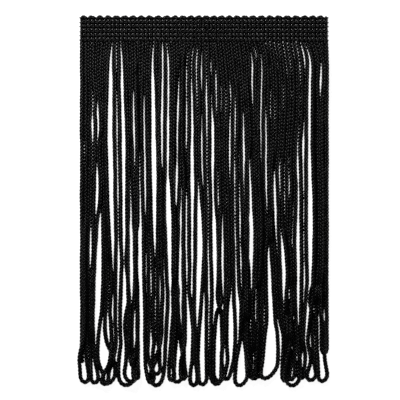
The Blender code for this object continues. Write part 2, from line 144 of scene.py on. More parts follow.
half_side = 0.5 * FLOOR_SIDE
floor_corners = [(-half_side, -half_side, 0), (half_side, -half_side, 0),
                 (half_side, half_side, 0), (-half_side, half_side, 0)]
floor_mesh = bpy.data.meshes.new("floor")
floor_mesh.from_pydata(floor_corners, [], [(0, 1, 2, 3)])
floor_material = bpy.data.materials.new("pale_floor")
floor_material.use_nodes = True
floor_shader = floor_material.node_tree.nodes["Principled BSDF"]
floor_shader.inputs["Base Color"].default_value = FLOOR_COLOR
floor_shader.inputs["Roughness"].default_value = FLOOR_ROUGHNESS
floor_shader.inputs["Emission Color"].default_value = WHITE
floor_shader.inputs["Emission Strength"].default_value = FLOOR_GLOW
floor_mesh.materials.append(floor_material)
floor = bpy.data.objects.new("floor", floor_mesh)
floor.location.z = -FLOOR_GAP
bpy.context.scene.collection.objects.link(floor)
print("floor", FLOOR_SIDE, "m square")

# %% The faint glow and the softboxes
GLOW = 0.008
SOFTBOXES = (
    # name, x, y, height, side, watts
    ("key_softbox", -0.12, 0.30, 0.22, 0.10, 0.7),
    ("side_softbox", 0.40, 0.10, 0.35, 0.12, 0.12),
    ("foot_softbox", -0.05, -0.45, 0.40, 0.12, 0.05),
)

world = bpy.data.worlds.new("soft_glow")
world.use_nodes = True
background = world.node_tree.nodes["Background"]
background.inputs["Color"].default_value = WHITE
background.inputs["Strength"].default_value = GLOW
bpy.context.scene.world = world
bpy.context.scene.view_settings.view_transform = "Standard"
bpy.context.scene.cycles.use_denoising = False

for name, x, y, height, side, watts in SOFTBOXES:
    light = bpy.data.lights.new(name, "AREA")
    light.shape = "SQUARE"
    light.size = side
    light.energy = watts
    box = bpy.data.objects.new(name, light)
    box.location = (x, y, height)
    box.rotation_euler = box.location.to_track_quat("Z", "Y").to_euler()
    bpy.context.scene.collection.objects.link(box)
print(len(SOFTBOXES), "softboxes")

# %% [markdown]
# ## Dyed rayon
#
# Chainette is made of bright rayon: hundreds of straight shiny filaments, dyed a deep black. Three things
# make it look like yarn and not like plastic. Fine ridges run slantwise round each ply, so the gloss breaks
# into glints; they follow the yarn through a map that counts millimetres along it and turns round it. Shade
# is painted into the colour, darkest deep between and under the plies, where a value called *crest* is low,
# and the yarn's own colour also drifts a little at random from place to place.

# %% What the yarn materials are made of
YARNS = {
    # name: color, roughness, gloss
    "black_rayon_chainette": ((0.006, 0.0062, 0.0067), 0.37, 0.34),
    "black_rayon_knit": ((0.007, 0.0072, 0.0078), 0.5, 0.45),
}
PATCH = 1.1
FILAMENT_RIDGES = 14.0
FILAMENT_SLANT = 1.6
FILAMENT_SCALE = 2 * math.pi / 20
FILAMENT_BUMP = 0.6
FILAMENT_DEPTH = 0.004
# Painted shade: below crest SHADE_END the yarn keeps SHADE_SHARE of its colour, and from FULL_TONE up it has
# its full colour.
SHADE_SHARE = 0.05
SHADE_END = 0.22
FULL_TONE = 0.62


def add_filaments(nodes, links, shader):
    """Fine slanting ridges that follow the yarn's own map."""
    yarn_map = nodes.new("ShaderNodeUVMap")
    yarn_map.uv_map = "yarn"
    twist = nodes.new("ShaderNodeMapping")
    twist.inputs["Scale"].default_value = (FILAMENT_RIDGES, FILAMENT_SLANT, 1.0)
    links.new(yarn_map.outputs["UV"], twist.inputs["Vector"])
    filaments = nodes.new("ShaderNodeTexWave")
    filaments.wave_type = "BANDS"
    filaments.bands_direction = "DIAGONAL"
    filaments.inputs["Scale"].default_value = FILAMENT_SCALE
    filaments.inputs["Distortion"].default_value = 1.0
    filaments.inputs["Detail"].default_value = 2.0
    links.new(twist.outputs["Vector"], filaments.inputs["Vector"])

    bump = nodes.new("ShaderNodeBump")
    bump.inputs["Strength"].default_value = FILAMENT_BUMP
    bump.inputs["Distance"].default_value = FILAMENT_DEPTH * MM
    links.new(filaments.outputs["Fac"], bump.inputs["Height"])
    links.new(bump.outputs["Normal"], shader.inputs["Normal"])


def add_painted_shade_and_drift(nodes, links, shader, color):
    """The colour: painted shade in the hollows between and under the plies, and a tone that drifts a little
    at random from place to place.
    """
    crest = nodes.new("ShaderNodeAttribute")
    crest.attribute_name = "crest"
    place = nodes.new("ShaderNodeTexCoord")
    drift = nodes.new("ShaderNodeTexNoise")
    drift.inputs["Scale"].default_value = 1.0 / (PATCH * MM)
    drift.inputs["Detail"].default_value = 1.0
    links.new(place.outputs["Object"], drift.inputs["Vector"])
    # Crest times drift: where it is low, in the hollows and underneath, the ramp paints shade into the
    # colour.
    lit = nodes.new("ShaderNodeMath")
    lit.operation = "MULTIPLY"
    links.new(crest.outputs["Fac"], lit.inputs[0])
    links.new(drift.outputs["Fac"], lit.inputs[1])
    tone = nodes.new("ShaderNodeValToRGB")
    deep, full = tone.color_ramp.elements
    deep.position = SHADE_END
    deep.color = (*[SHADE_SHARE * c for c in color], 1.0)
    full.position = FULL_TONE
    full.color = (*color, 1.0)
    links.new(lit.outputs["Value"], tone.inputs["Fac"])
    links.new(tone.outputs["Color"], shader.inputs["Base Color"])


# %% The two yarns
def yarn_material(name):
    """Twisted filament yarn, with its ridges, its painted shade and its drifting tone."""
    color, roughness, gloss = YARNS[name]
    material = bpy.data.materials.new(name)
    material.use_nodes = True
    nodes = material.node_tree.nodes
    links = material.node_tree.links
    shader = nodes["Principled BSDF"]
    shader.inputs["Roughness"].default_value = roughness
    shader.inputs["Specular IOR Level"].default_value = gloss
    add_filaments(nodes, links, shader)
    add_painted_shade_and_drift(nodes, links, shader, color)
    return material


rayon = yarn_material("black_rayon_chainette")
knit_yarn = yarn_material("black_rayon_knit")
print("materials", rayon.name, knit_yarn.name)

# %% [markdown]
# ## Where the legs hang
#
# Freshly combed fringe hangs in clumps: some legs lie shoulder to shoulder, others part and leave a gap.
# A maker would describe it by its partings, so the first table lists those: a parting opens at drop top, is
# widest at drop wide, where its width is given, and closes at drop foot, and its middle runs at top_x,
# wide_x and foot_x. The second table lists the loops' lower ends: loop 1 joins legs 1 and 2, and so on, and
# a loop comes down at left_x and right_x to its shoulder and turns at foot_x and foot. Everything between
# is left to a balance of wishes: a leg likes to be straight, to lie beside its neighbour, to keep out of
# the partings and to reach its own loop. The balance is solved anew each time the legs have moved, since
# who lies beside whom may have changed.

# %% The partings and the loops' ends
PARTINGS = (
    # left leg, right leg, top, top_x, wide, wide_x, width, foot, foot_x
    (2, 3, 39.5, -45.8, 44.5, -45.8, 0.75, 50.5, -45.6),
    (2, 3, 84.5, -46.3, 94.0, -46.5, 0.75, 105.0, -46.6),
    (3, 4, 32.0, -43.6, 43.5, -43.2, 0.75, 51.0, -43.1),
    (3, 4, 59.5, -43.8, 70.0, -43.6, 1.2, 84.5, -44.2),
    (4, 5, 76.5, -42.4, 115.0, -43.4, 2.2, 132.5, -44.3),
    (5, 7, 119.0, -40.2, 135.5, -40.8, 4.2, 147.5, -41.0),
    (7, 8, 10.5, -38.2, 52.0, -38.3, 2.2, 105.5, -37.1),
    (8, 9, 26.0, -35.9, 55.0, -35.5, 1.0, 90.0, -35.1),
    (8, 9, 80.0, -35.1, 105.0, -35.1, 0.6, 129.5, -35.5),
    (9, 10, 10.5, -33.8, 66.0, -32.8, 1.9, 101.0, -32.6),
    (9, 10, 101.0, -32.6, 126.0, -32.4, 2.2, 138.0, -32.9),
    (9, 11, 133.0, -32.8, 141.0, -33.4, 1.5, 152.0, -33.9),
    (11, 12, 51.0, -30.4, 101.0, -29.7, 1.4, 120.5, -29.7),
    (11, 13, 134.0, -30.1, 141.5, -30.5, 1.5, 149.0, -30.7),
    (12, 13, 26.5, -28.9, 50.0, -28.6, 0.85, 86.0, -28.1),
    (12, 13, 115.5, -28.2, 130.0, -28.4, 0.8, 139.0, -28.4),
    (14, 15, 52.0, -26.4, 101.0, -26.2, 1.6, 118.0, -25.8),
    (14, 15, 108.0, -25.9, 122.0, -25.7, 1.6, 160.0, -25.4),
    (15, 16, 28.5, -24.6, 66.0, -24.2, 0.9, 87.0, -23.9),
    (16, 17, 128.3, -21.9, 134.0, -21.6, 0.7, 139.5, -22.3),
    (17, 18, 10.5, -21.2, 60.0, -20.5, 1.95, 98.0, -20.1),
    (17, 18, 138.5, -19.8, 143.0, -19.6, 1.2, 146.5, -19.1),
    (19, 20, 10.5, -16.9, 40.0, -17.2, 0.85, 64.0, -17.4),
    (19, 20, 114.5, -16.0, 119.5, -16.0, 0.7, 127.0, -16.6),
    (20, 21, 10.5, -14.5, 40.0, -14.6, 0.85, 75.0, -14.8),
    (20, 21, 60.0, -14.9, 80.0, -14.5, 2.0, 118.0, -13.6),
    (20, 21, 112.0, -13.8, 122.0, -13.8, 0.8, 143.0, -15.2),
    (23, 24, 22.0, -10.2, 46.0, -10.9, 0.8, 62.0, -11.0),
    (23, 24, 56.0, -11.0, 71.5, -11.2, 1.05, 80.5, -11.4),
    (23, 24, 133.0, -10.4, 142.5, -10.3, 2.0, 152.0, -11.3),
    (24, 25, 61.0, -9.0, 84.0, -9.5, 0.7, 100.0, -9.6),
    (24, 25, 88.0, -9.6, 107.0, -9.7, 1.45, 134.0, -8.8),
    (26, 27, 11.5, -7.2, 43.0, -7.0, 0.8, 57.0, -7.3),
    (26, 27, 68.0, -7.2, 92.0, -7.2, 0.8, 116.0, -7.2),
    (26, 27, 113.0, -7.2, 129.0, -6.3, 2.3, 149.0, -6.7),
    (27, 28, 18.0, -5.2, 66.0, -4.8, 1.4, 108.0, -4.9),
    (28, 29, 68.0, -2.3, 94.0, -1.6, 2.05, 129.5, -3.0),
    (29, 30, 34.0, -1.0, 60.0, -0.8, 0.6, 77.5, -0.1),
    (29, 30, 113.5, 0.3, 137.0, -0.8, 1.9, 160.0, -0.3),
    (30, 31, 21.5, 1.0, 40.0, 1.2, 0.75, 65.0, 1.3),
    (30, 31, 74.0, 1.6, 112.0, 2.0, 0.65, 137.0, 1.8),
    (31, 32, 27.5, 3.1, 50.0, 3.5, 1.3, 84.0, 3.9),
    (31, 32, 70.0, 3.9, 95.0, 4.3, 1.85, 116.0, 4.5),
    (32, 33, 23.0, 4.9, 34.0, 4.9, 0.8, 43.5, 5.1),
    (32, 33, 62.0, 5.6, 75.0, 5.7, 0.7, 82.0, 5.9),
    (33, 34, 78.0, 7.5, 101.0, 7.6, 0.9, 118.0, 7.9),
    (33, 32, 120.5, 6.2, 140.0, 5.6, 1.8, 151.0, 5.2),
    (34, 35, 134.5, 8.4, 141.5, 8.6, 0.9, 147.3, 8.5),
    (35, 36, 41.0, 10.5, 52.0, 10.7, 0.8, 68.0, 10.5),
    (35, 36, 115.0, 11.0, 127.5, 11.1, 2.05, 147.5, 10.6),
    (36, 37, 30.0, 12.8, 68.0, 12.7, 0.75, 104.0, 13.1),
    (36, 37, 98.0, 12.9, 118.0, 13.9, 1.25, 131.0, 13.8),
    (37, 38, 50.0, 14.2, 74.0, 14.4, 0.8, 101.0, 15.0),
    (37, 38, 94.0, 15.0, 106.5, 15.1, 0.85, 115.0, 15.3),
    (37, 38, 133.5, 15.7, 147.0, 15.0, 3.1, 156.0, 14.8),
    (38, 39, 36.5, 16.1, 60.0, 16.3, 0.95, 84.5, 16.9),
    (38, 39, 100.5, 17.2, 108.0, 17.2, 0.65, 132.5, 17.2),
    (40, 41, 56.0, 18.4, 90.0, 19.4, 1.7, 141.5, 18.3),
    (41, 42, 15.5, 19.9, 28.0, 19.7, 0.65, 40.0, 20.0),
    (43, 44, 13.5, 23.8, 40.0, 23.3, 0.65, 69.0, 23.5),
    (44, 45, 36.5, 25.3, 54.0, 25.3, 0.8, 83.0, 25.8),
    (45, 46, 93.0, 26.3, 124.0, 27.4, 1.8, 140.0, 27.8),
    (45, 46, 122.0, 27.5, 142.0, 27.3, 4.7, 160.0, 26.0),
    (46, 47, 127.0, 31.0, 133.5, 31.4, 0.75, 138.8, 31.4),
    (47, 48, 61.0, 28.7, 74.0, 29.0, 0.95, 94.5, 29.8),
    (48, 49, 90.0, 31.9, 105.0, 32.7, 1.4, 118.0, 32.6),
    (51, 52, 66.0, 37.0, 79.0, 36.8, 0.7, 96.5, 35.9),
    (52, 53, 49.0, 38.4, 96.0, 38.5, 1.3, 127.5, 38.7),
    (54, 55, 10.5, 43.8, 37.0, 43.2, 1.1, 60.0, 43.1),
    (54, 55, 43.0, 43.1, 88.0, 43.6, 1.85, 112.0, 43.4),
    (54, 55, 106.0, 43.5, 114.0, 43.2, 1.0, 138.5, 41.0),
    (54, 55, 137.8, 42.4, 141.5, 42.6, 0.7, 145.5, 42.1),
    (57, 58, 17.5, 48.1, 26.5, 47.7, 0.9, 35.5, 47.6),
    (57, 59, 126.5, 47.4, 131.0, 47.2, 0.6, 138.0, 47.1),
    (59, 60, 117.5, 49.3, 136.0, 49.1, 1.0, 140.0, 49.0),
)
HEM = (
    # left_x, right_x, shoulder, foot_x, foot
    (-50.7, -47.1, 147.8, -48.7, 150.3),
    (-46.3, -43.2, 148.2, -44.9, 150.5),
    (-41.2, -36.4, 147.2, -39.8, 150.9),
    (-42.0, -39.1, 148.8, -41.0, 151.0),
    (-35.0, -27.8, 146.0, -32.0, 151.4),
    (-32.6, -26.9, 145.6, -29.9, 150.0),
    (-29.1, -26.8, 147.7, -27.9, 148.9),
    (-22.9, -20.6, 149.2, -21.6, 150.4),
    (-21.0, -17.8, 144.7, -19.5, 147.0),
    (-22.0, -16.5, 146.4, -19.7, 151.6),
    (-14.4, -12.1, 148.4, -13.1, 149.5),
    (-12.6, -8.6, 147.4, -11.2, 150.2),
    (-9.6, -7.3, 147.8, -8.6, 148.9),
    (-5.7, -2.7, 149.2, -4.3, 151.6),
    (-2.1, 1.1, 149.0, -0.7, 151.3),
    (2.8, 7.0, 147.6, 5.2, 151.1),
    (3.9, 8.0, 146.6, 6.1, 149.9),
    (8.3, 10.3, 148.1, 9.0, 149.2),
    (12.8, 17.7, 147.6, 14.4, 151.6),
    (17.7, 20.0, 147.0, 18.8, 148.1),
    (19.2, 21.7, 147.4, 20.5, 149.0),
    (21.1, 23.4, 146.8, 22.2, 148.0),
    (23.6, 30.1, 143.1, 24.9, 148.6),
    (32.1, 35.0, 147.6, 33.3, 149.8),
    (34.0, 37.1, 147.0, 35.6, 149.2),
    (33.0, 39.3, 146.8, 36.2, 151.6),
    (38.5, 40.7, 147.6, 39.8, 148.9),
    (42.1, 46.0, 146.8, 43.6, 149.5),
    (46.7, 50.6, 146.8, 48.4, 149.9),
    (48.2, 50.3, 137.3, 49.1, 138.4),
)
SINGLE_END = 144.0
print(len(PARTINGS), "partings,", len(HEM), "loops")

# %% The balance of wishes
# HOLD is how firmly a leg keeps to a parting, an edge, its root or its loop. STIFFNESS keeps it straight,
# HUDDLE lays it beside its neighbour, and HOMING draws it gently towards its column. A parting opens more
# bluntly the smaller OPENING is, and it holds less within FREE_ROOT of the roots. In the first few
# settlings, the rows above MIXED_DROP keep the legs in the order in which they leave the heading.
CORD = 1.62
LIE_APART = 1.6
ROW_STEP = 4.1
ROWS = 34
HOLD = 40.0
OPENING = 0.7
STIFFNESS = 1.2
HUDDLE = 1.5
HOMING = 0.002
FREE_ROOT = 18.0
SETTLINGS = 8
SETTLINGS_IN_TURN = 4
MIXED_DROP = 112.0
FREE_ROWS = 4
LEFT_INSET = 0.5 * CORD
RIGHT_INSET = 0.4 * CORD
drops = ROOT_DROP + ROW_STEP * np.arange(ROWS)


def wish(matrix, goals, places, factors, goal, weight):
    """Add to a least-squares system: the factors times the unknowns at these places come to the goal."""
    for a, factor_a in zip(places, factors):
        goals[a] += weight * factor_a * goal
        for b, factor_b in zip(places, factors):
            matrix[a, b] += weight * factor_a * factor_b


def parting_places():
    """For each row that a parting crosses: the two legs, the row and the two places beside it."""
    widest = {}
    for left, right, top, top_x, wide, wide_x, width, foot, foot_x in PARTINGS:
        for row, drop in enumerate(drops):
            if not top < drop < foot:
                continue
            if drop < wide:
                share = (drop - top) / (wide - top)
                middle = top_x + (wide_x - top_x) * share
            else:
                share = (foot - drop) / (foot - wide)
                middle = foot_x + (wide_x - foot_x) * share
            half = 0.5 * width * math.sin(0.5 * math.pi * share) ** OPENING + 0.5 * CORD
            if half > widest.get((left, right, row), (0.0, 0.0))[1]:
                widest[left, right, row] = (middle, half)
    return [(*place, middle - half, middle + half) for place, (middle, half) in widest.items()]


# %% The wishes that never change
def fixed_wishes():
    """Columns, straightness, the trim's edges (on the right not quite to the foot), partings and loops."""
    matrix = np.zeros((LEGS * ROWS, LEGS * ROWS))
    goals = np.zeros(LEGS * ROWS)
    for leg in range(LEGS):
        first = leg * ROWS
        for row in range(ROWS):
            wish(matrix, goals, [first + row], [1], column_x(leg), HOMING)
        for row in range(1, ROWS - 1):
            three = [first + row - 1, first + row, first + row + 1]
            wish(matrix, goals, three, [1, -2, 1], 0.0, STIFFNESS)
        wish(matrix, goals, [first], [1], column_x(leg), HOLD)
    for row in range(ROWS):
        wish(matrix, goals, [row], [1], -0.5 * LENGTH + LEFT_INSET, HOLD)
    for row in range(ROWS - FREE_ROWS):
        last = (LEGS - 1) * ROWS + row
        wish(matrix, goals, [last], [1], 0.5 * LENGTH - RIGHT_INSET, HOLD)
    for left, right, row, left_x, right_x in parting_places():
        hold = HOLD * min(1.0, (drops[row] - ROOT_DROP) / FREE_ROOT) ** 2
        wish(matrix, goals, [left * ROWS + row], [1], left_x, hold)
        wish(matrix, goals, [right * ROWS + row], [1], right_x, hold)
    for loop, (left_x, right_x, shoulder, *_) in enumerate(HEM, start=1):
        nearest = int(np.argmin(np.abs(drops - shoulder)))
        for row in range(nearest, ROWS):
            wish(matrix, goals, [(2 * loop - 1) * ROWS + row], [1], left_x, HOLD)
            wish(matrix, goals, [2 * loop * ROWS + row], [1], right_x, HOLD)
    return matrix, goals


# %% Settling the legs side by side
def leg_places():
    """Each leg's x on each row, huddled beside its neighbours wherever no parting divides them."""
    parted = {(row, left, right) for left, right, row, _, _ in parting_places()}
    fixed_matrix, fixed_goals = fixed_wishes()
    x = np.linalg.solve(fixed_matrix, fixed_goals).reshape(LEGS, ROWS)
    for settling in range(SETTLINGS):
        matrix = fixed_matrix.copy()
        goals = fixed_goals.copy()
        for row in range(1, ROWS - 1):
            order = np.argsort(x[:, row], kind="stable")
            if settling < SETTLINGS_IN_TURN and drops[row] < MIXED_DROP:
                order = np.arange(LEGS)
            for a, b in zip(order[:-1], order[1:]):
                if (row, a, b) not in parted:
                    wish(matrix, goals, [a * ROWS + row, b * ROWS + row], [-1, 1], LIE_APART, HUDDLE)
        x = np.linalg.solve(matrix, goals).reshape(LEGS, ROWS)
    return x


leg_x = leg_places()
print("legs settled; the widest shift sideways is",
      round(float(np.abs(leg_x - leg_x[:, :1]).max()), 1), "mm")

# %% [markdown]
# ## The cord's line, seen from above
#
# Each loop is one smooth curve: down its left leg, round the turn and up its right leg. The points from the
# rows are few, so a Catmull-Rom curve is run through them, because it passes through every point that it is
# given. The legs start a little way up inside the heading, where the lowest chain of stitches hides them.

# %% Smooth lines for the loops
STEP = 0.8
LEG_START = 9.7
TURN_POINTS = 9
LEG_END_ABOVE_SHOULDER = 2.0


def run_along(points):
    """How far along the line through the points each one comes."""
    return np.concatenate([[0], np.cumsum(np.linalg.norm(np.diff(points, axis=0), axis=1))])


def at_even_steps(points, step):
    """The same line with its points at even steps."""
    run = run_along(points)
    marks = np.linspace(0, run[-1], int(round(run[-1] / step)) + 1)
    return np.column_stack([np.interp(marks, run, points[:, axis]) for axis in range(points.shape[1])])


def smooth_path(points, step=STEP):
    """Points at even steps along a smooth curve through the given ones."""
    points = np.asarray(points, float)
    ends = np.vstack([2 * points[0] - points[1], points, 2 * points[-1] - points[-2]])
    fine = []
    for a, b, c, d in zip(ends[:-3], ends[1:-2], ends[2:-1], ends[3:]):
        count = max(2, int(np.linalg.norm(c - b) / (0.5 * step)))
        for t in np.arange(count) / count:
            bend = (2 * a - 5 * b + 4 * c - d) * t ** 2 + (3 * b - a - 3 * c + d) * t ** 3
            fine.append(0.5 * (2 * b + (c - a) * t + bend))
    return at_even_steps(np.array(fine + [points[-1]]), step)


def eased(line):
    """The line with each inner point drawn halfway towards the middle of its two neighbours."""
    line = line.copy()
    line[1:-1] = 0.5 * line[1:-1] + 0.25 * (line[:-2] + line[2:])
    return line


def loop_end(left_x, right_x, shoulder, foot_x, foot):
    """The turn at the lower end of a loop, from its left shoulder to its right one."""
    turn = np.linspace(0, math.pi, TURN_POINTS)
    middle = 0.5 * (left_x + right_x)
    x = middle - 0.5 * (right_x - left_x) * np.cos(turn) + (foot_x - middle) * np.sin(turn)
    return np.column_stack([x, shoulder + (foot - shoulder) * np.sin(turn)])


def leg_line(leg, lowest):
    """A leg's points down to a drop, from inside the heading."""
    above = drops < lowest
    points = np.column_stack([leg_x[leg][above], drops[above]])
    return np.vstack([[column_x(leg), LEG_START], points])


cord_plans = [smooth_path(leg_line(0, SINGLE_END))]
for loop, (left_x, right_x, shoulder, foot_x, foot) in enumerate(HEM, start=1):
    down = leg_line(2 * loop - 1, shoulder - LEG_END_ABOVE_SHOULDER)
    up = leg_line(2 * loop, shoulder - LEG_END_ABOVE_SHOULDER)[::-1]
    turn = loop_end(left_x, right_x, shoulder, foot_x, foot)
    cord_plans.append(eased(smooth_path(np.vstack([down, turn, up]))))
print("cord in the fringe:", round(sum(len(p) - 1 for p in cord_plans) * STEP / 1000, 2), "m")

# %% [markdown]
# ## Which length lies on which
#
# Sixty-one legs don't fit side by side once there are gaps, so some lie on others. The loops lie in three
# layers, in turn. Where two loops meet, the one whose number leaves the larger remainder when divided by
# LAYERS lies on top, and where the remainders are equal the right one does; the single end counts as loop 0.
# Where a loop meets itself, its left leg is on top if its remainder is odd. The cord is limp but not flat:
# where it climbs over a neighbour it rises by as much as two round cords need at that distance, and its line
# is eased so that it climbs and falls gently.

# %% Finding the crossings
LAYERS = 3
NEAR = 1.5
THICKNESS = 1.15
SAME_LENGTH = 2.2 * LIE_APART


def crossings(plans):
    """Where one length of cord lies over another: upper, its points, lower, its points, and the rise."""
    over = [loop % LAYERS for loop in range(len(plans))]
    halves = [(0, 0, len(plans[0]))]
    for loop, plan in enumerate(plans[1:], start=1):
        turn = int(np.argmax(plan[:, 1]))
        halves += [(loop, 0, turn + 1), (loop, turn, len(plan))]
    found = []
    for first, (a, a_from, a_to) in enumerate(halves):
        for b, b_from, b_to in halves[first + 1:]:
            apart = plans[a][a_from:a_to, None] - plans[b][None, b_from:b_to]
            distance = np.hypot(apart[..., 0], apart[..., 1])
            near = distance < NEAR
            if a == b:
                along = np.arange(a_from, a_to)[:, None] - np.arange(b_from, b_to)[None]
                near &= np.abs(along) * STEP > SAME_LENGTH
            at_a, at_b = np.nonzero(near)
            if len(at_a) == 0:
                continue
            rise = THICKNESS * np.sqrt(1.0 - (distance[at_a, at_b] / NEAR) ** 2)
            left_on_top = over[a] % 2 == 1 if a == b else over[a] > over[b]
            if left_on_top:
                found.append((a, a_from + at_a, b, b_from + at_b, rise))
            else:
                found.append((b, b_from + at_b, a, a_from + at_a, rise))
    return found


# %% Lifting the upper cord over the lower one
STEEPEST = 0.6
RISE_FROM_ROOT = 5.0
STILL = 1e-4


def gentle_line(needed):
    """The lowest line over the needed heights that climbs and falls gently."""
    climb = STEEPEST * STEP * np.arange(len(needed))
    falling = np.maximum.accumulate(needed + climb) - climb
    rising = np.maximum.accumulate((needed - climb)[::-1])[::-1] + climb
    return np.maximum(falling, rising)


def cord_levels(plans):
    """How far each cord is lifted off the floor along its line."""
    found = crossings(plans)
    levels = [np.zeros(len(plan)) for plan in plans]
    moved = True
    while moved:
        moved = False
        needed = [np.zeros(len(plan)) for plan in plans]
        for upper, upper_points, lower, lower_points, rise in found:
            np.maximum.at(needed[upper], upper_points, levels[lower][lower_points] + rise)
        for k, plan in enumerate(plans):
            start = np.clip((plan[:, 1] - ROOT_DROP) / RISE_FROM_ROOT, 0, 1)
            line = gentle_line(needed[k]) * start
            moved = moved or bool(np.abs(line - levels[k]).max() > STILL)
            levels[k] = line
    return levels


cord_lifts = cord_levels(cord_plans)
print("highest lift", round(max(float(lift.max()) for lift in cord_lifts), 2), "mm")

# %% [markdown]
# ## Plaiting a cord
#
# Close up, chainette shows a row of little V shapes, one ply leaning left and the next leaning right. Three
# plies that swing from side to side, a third of a turn apart, give that look, and each runs in to the
# middle underneath and out again on top. A sine for the swing and a sine twice as quick for the dip make the
# whole plait, so no point of it is placed by hand. Each ply is then a thin tube round its own line.

# %% Plait and tube
PLIES = 3
REPEAT = 4.3
RING_STEP = 0.50
SIDES = 6
SWING = 0.50
DIP = 0.30
PLY_FLATNESS = 0.92
rng = np.random.default_rng(7)


def unit(vectors):
    """The vectors at length one."""
    return vectors / np.maximum(np.linalg.norm(vectors, axis=-1, keepdims=True), 1e-12)


def across_and_up(line):
    """For each point of a line, the directions across it and up from it."""
    way = unit(np.gradient(line, axis=0))
    side = unit(np.cross([0.0, 0.0, 1.0], way))
    return side, np.cross(way, side)


def tube(line, across, upward):
    """Rings round a line: across and upward are its half width and half height, one number or one a point."""
    side, over = across_and_up(line)
    turn = 2 * math.pi * (np.arange(SIDES) + 0.25) / SIDES
    across = np.broadcast_to(across, len(line))[:, None, None]
    upward = np.broadcast_to(upward, len(line))[:, None, None]
    wide = across * np.cos(turn)[None, :, None] * side[:, None]
    high = upward * np.sin(turn)[None, :, None] * over[:, None]
    return line[:, None] + wide + high


def plait(line, half_width, phase):
    """The tubes of three plies swinging and dipping along a line of evenly spaced points."""
    run = run_along(line)
    side, over = across_and_up(line)
    tubes = []
    for ply in range(PLIES):
        turn = 2 * math.pi * (run / REPEAT + ply / PLIES + phase)
        swing = SWING * half_width * np.sin(turn)
        dip = DIP * half_width * np.sin(2 * turn)
        middle = line + side * swing[:, None] + over * dip[:, None]
        rings = tube(middle, (1 - SWING) * half_width, PLY_FLATNESS * (1 - SWING) * half_width)
        # crest runs from the underside of the cord to its top; it sets the painted shade in the colour.
        top = (DIP + PLY_FLATNESS * (1 - SWING)) * half_width
        crest = 0.5 + 0.5 * (rings[..., 2] - line[:, None, 2]) / np.broadcast_to(top, len(line))[:, None]
        tubes.append((rings, crest))
    return tubes


# %% Turning tubes into a mesh
def tube_faces(start, count):
    """The faces of one tube, whose points are numbered from start: its sides, and a cap at each end."""
    ring = start + SIDES * np.arange(count - 1)[:, None]
    corner = np.arange(SIDES)[None]
    after = (corner + 1) % SIDES
    around = [ring + corner, ring + after, ring + SIDES + after, ring + SIDES + corner]
    end = start + SIDES * count
    caps = [list(range(start + SIDES - 1, start - 1, -1)), list(range(end - SIDES, end))]
    return np.stack(around, axis=-1).reshape(-1, 4).tolist(), caps


def tubes_mesh(name, tubes):
    """One mesh of many closed tubes, all their sides first and then all their caps."""
    sides = []
    caps = []
    start = 0
    for rings, _ in tubes:
        tube_sides, tube_caps = tube_faces(start, len(rings))
        sides += tube_sides
        caps += tube_caps
        start += SIDES * len(rings)
    points = in_frame(np.vstack([rings.reshape(-1, 3) for rings, _ in tubes]))
    mesh = bpy.data.meshes.new(name)
    mesh.from_pydata(points.tolist(), [], sides + caps)
    mesh.shade_smooth()
    return mesh


# %% Mapping the yarn, and making a piece of it
def add_yarn_map(mesh, tubes):
    """On each tube, the turns round it and the millimetres along it, and how near a point is to the crest,
    which sets its painted shade.
    """
    along = np.concatenate([np.repeat(run_along(rings.mean(axis=1)), SIDES) for rings, _ in tubes])
    side_count = sum(SIDES * (len(rings) - 1) for rings, _ in tubes)
    corners = np.zeros(len(mesh.loops), int)
    mesh.loops.foreach_get("vertex_index", corners)
    first_edge = np.repeat(np.arange(side_count) % SIDES, 4)
    next_edge = np.tile([0.0, 1.0, 1.0, 0.0], side_count)
    turns = np.zeros((len(corners), 2))
    turns[:4 * side_count, 0] = (first_edge + next_edge) / SIDES
    turns[:, 1] = along[corners]
    mesh.uv_layers.new(name="yarn").data.foreach_set("uv", turns.ravel())
    crests = np.concatenate([crest.ravel() for _, crest in tubes])
    mesh.attributes.new("crest", "FLOAT", "POINT").data.foreach_set("value", crests)


def yarn_piece(name, tubes, material, stands_for):
    """One object of yarn that rides with the trim and stands for a plain solid."""
    mesh = tubes_mesh(name, tubes)
    add_yarn_map(mesh, tubes)
    mesh.materials.append(material)
    piece = bpy.data.objects.new(name, mesh)
    bpy.context.scene.collection.objects.link(piece)
    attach(piece, "root")
    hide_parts(stands_for)
    return piece


# %% [markdown]
# ## The fringe
#
# The cord is drawn in at its roots, is fullest just below them and gets a little slimmer towards the loops.
# It also wanders: a slow sway of up to a tenth of a millimetre is enough to keep sixty-one legs from looking
# ruled. The cut start of the cord, at the left, simply ends in its three plies.

# %% The thirty loops and the single end
REST_HEIGHT = 0.62
WIDTH_DROPS = (ROOT_DROP, 18.0, 70.0, 145.0)
WIDTHS = (1.97, 2.12, 2.06, 2.00)
SWAY = 0.10
SWAY_IN_FULL = 10
LEG_UNEVENNESS = 0.05
SWAY_WAVES = (
    # length, share
    (31.0, 0.5),
    (13.0, 0.3),
    (6.5, 0.2),
)


def sway(count, step, size):
    """A slow wander from side to side, made of three waves."""
    along = np.arange(count) * step
    return size * sum(share * np.sin(2 * math.pi * (along / length + rng.random()))
                      for length, share in SWAY_WAVES)


for k, (plan, lift) in enumerate(zip(cord_plans, cord_lifts)):
    line = at_even_steps(np.column_stack([plan[:, 0], -plan[:, 1], REST_HEIGHT + lift]), RING_STEP)
    line = eased(eased(line))
    drop = -line[:, 1]
    line[:, 0] += sway(len(line), RING_STEP, SWAY) * np.clip((drop - ROOT_DROP) / SWAY_IN_FULL, 0, 1)
    width = np.interp(drop, WIDTH_DROPS, WIDTHS)
    half_width = 0.5 * width * (1 + sway(len(line), RING_STEP, LEG_UNEVENNESS))
    name = f"loop_{k:02d}" if k else "single_end"
    piece = yarn_piece(name, plait(line, half_width, rng.random()), rayon, "fringe")

